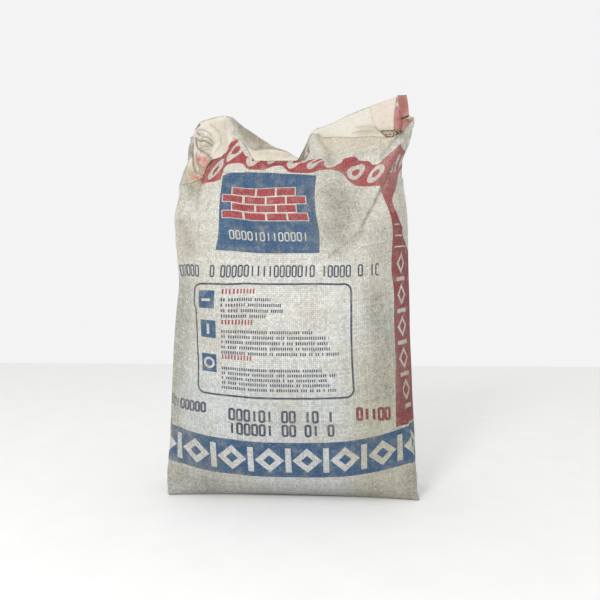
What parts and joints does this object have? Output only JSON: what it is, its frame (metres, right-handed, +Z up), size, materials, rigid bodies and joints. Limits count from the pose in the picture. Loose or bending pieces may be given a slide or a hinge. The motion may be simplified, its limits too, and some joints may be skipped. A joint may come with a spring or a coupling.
{
  "type": "cement bag",
  "caption": "Filled block-bottom woven cement bag standing upright, with a folded, slumped top, cover patches on both folded ends and a valve at one top corner.",
  "frame": {"origin": "on the floor, under the centre of the bag's bounding box", "axes": "+Z up, +X to the right of someone who looks at the printed front, +Y from the front to the back"},
  "size_m": [0.4063, 0.1846, 0.6587],
  "materials": {
    "woven_polypropylene": "woven, dusty, low sheen",
    "patch_polypropylene": "coated weave, cream, dusty",
    "valve_polypropylene": "coated weave, cream, smooth",
    "base_polypropylene": "coated weave, grey, dusty"
  },
  "bodies": {
    "root": {"sack": "woven_polypropylene", "top_cover_patch": "patch_polypropylene", "valve_patch": "valve_polypropylene", "bottom_cover_patch": "base_polypropylene"}
  },
  "joints": []
}
